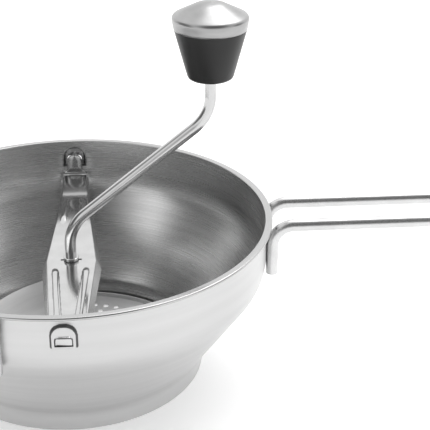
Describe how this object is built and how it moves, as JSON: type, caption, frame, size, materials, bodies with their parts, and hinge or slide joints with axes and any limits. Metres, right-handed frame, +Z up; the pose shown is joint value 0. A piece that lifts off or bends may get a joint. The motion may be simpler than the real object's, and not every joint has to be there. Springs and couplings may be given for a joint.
{
  "type": "rotary food mill",
  "caption": "Hand-cranked food mill: deep bowl on a collar with a sieve disc, snap-in crossbar, sprung crank with spiral press plate, turning knob and wire loop handle.",
  "frame": {"origin": "centre of the resting face, on the axis of the bowl and the collar", "axes": "+Z up along the bowl's axis, +X along the handle, the crossbar along Y"},
  "size_m": [0.423, 0.2948, 0.2341],
  "materials": {
    "satin_steel": "stainless steel, satin outside and brushed in rings inside",
    "wire_steel": "drawn stainless steel wire, fine satin",
    "sieve_steel": "stainless steel sheet, punched and satin",
    "polished_steel": "bright polished stainless steel",
    "spring_steel": "plain stainless steel",
    "cap_steel": "spun stainless steel cap, finely turned",
    "black_plastic": "satin moulded black plastic"
  },
  "bodies": {
    "frame": {"bowl": "satin_steel", "sieve_disc": "sieve_steel", "handle": "wire_steel", "front_rest": "wire_steel", "rear_rest": "wire_steel", "bridge": "polished_steel", "spring_seat": "spring_steel", "spring": "spring_steel"},
    "lifter": {"spring_cup": "spring_steel"},
    "crank": {"crank_rod": "polished_steel", "stop_ring": "polished_steel", "blade_hub": "polished_steel", "blade": "polished_steel", "hub_pin": "spring_steel", "thrust_washer": "spring_steel", "retaining_washer": "spring_steel"},
    "knob": {"knob_grip": "black_plastic", "knob_cap": "cap_steel", "knob_bush": "spring_steel"}
  },
  "joints": [
    {"name": "crank_lift", "type": "slide", "parent": "frame", "child": "lifter", "axis": [0, 0, 1], "range_m": [0, 0.008], "stiffness_N_per_m": 1500, "springref_m": -0.01, "deforming": ["spring"]},
    {"name": "crank_turn", "type": "hinge", "parent": "lifter", "child": "crank", "pos_m": [0, 0, 0.05], "axis": [0, 0, 1], "continuous": true},
    {"name": "knob_turn", "type": "hinge", "parent": "crank", "child": "knob", "pos_m": [0.087, 0, 0.2], "axis": [0, 0, 1], "continuous": true}
  ]
}
